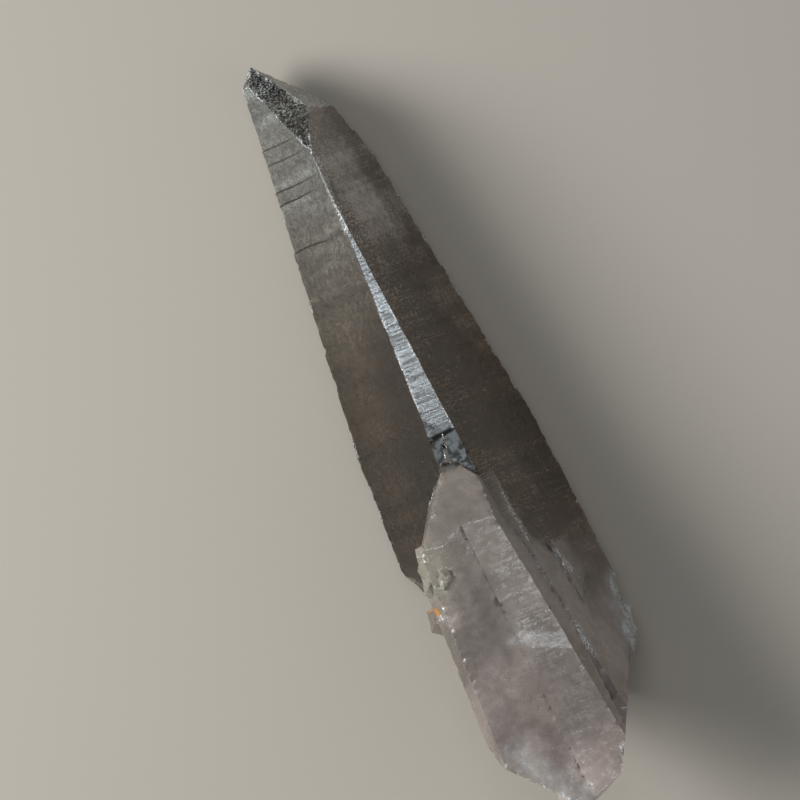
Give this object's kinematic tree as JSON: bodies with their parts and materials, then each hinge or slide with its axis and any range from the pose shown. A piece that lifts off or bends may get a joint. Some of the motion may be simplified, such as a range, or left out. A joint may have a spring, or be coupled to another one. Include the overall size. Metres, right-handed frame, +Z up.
{
  "type": "lemurian quartz crystal",
  "caption": "Smoky lemurian quartz crystal with ladder-like growth ledges and a second crystal grown along its front, lying on its back face.",
  "frame": {"origin": "on the surface that the crystal lies on, under the middle of its bounding box", "axes": "+Y along the long axis towards the tip, +Z up, out of the front that carries the second crystal, +X to the right seen from the front"},
  "size_m": [0.0512, 0.2054, 0.0523],
  "materials": {
    "smoky_quartz": "clear smoky quartz, glossy natural faces with growth lines, milky and frosted towards the base"
  },
  "bodies": {
    "root": {"quartz_crystal": "smoky_quartz"}
  },
  "joints": []
}
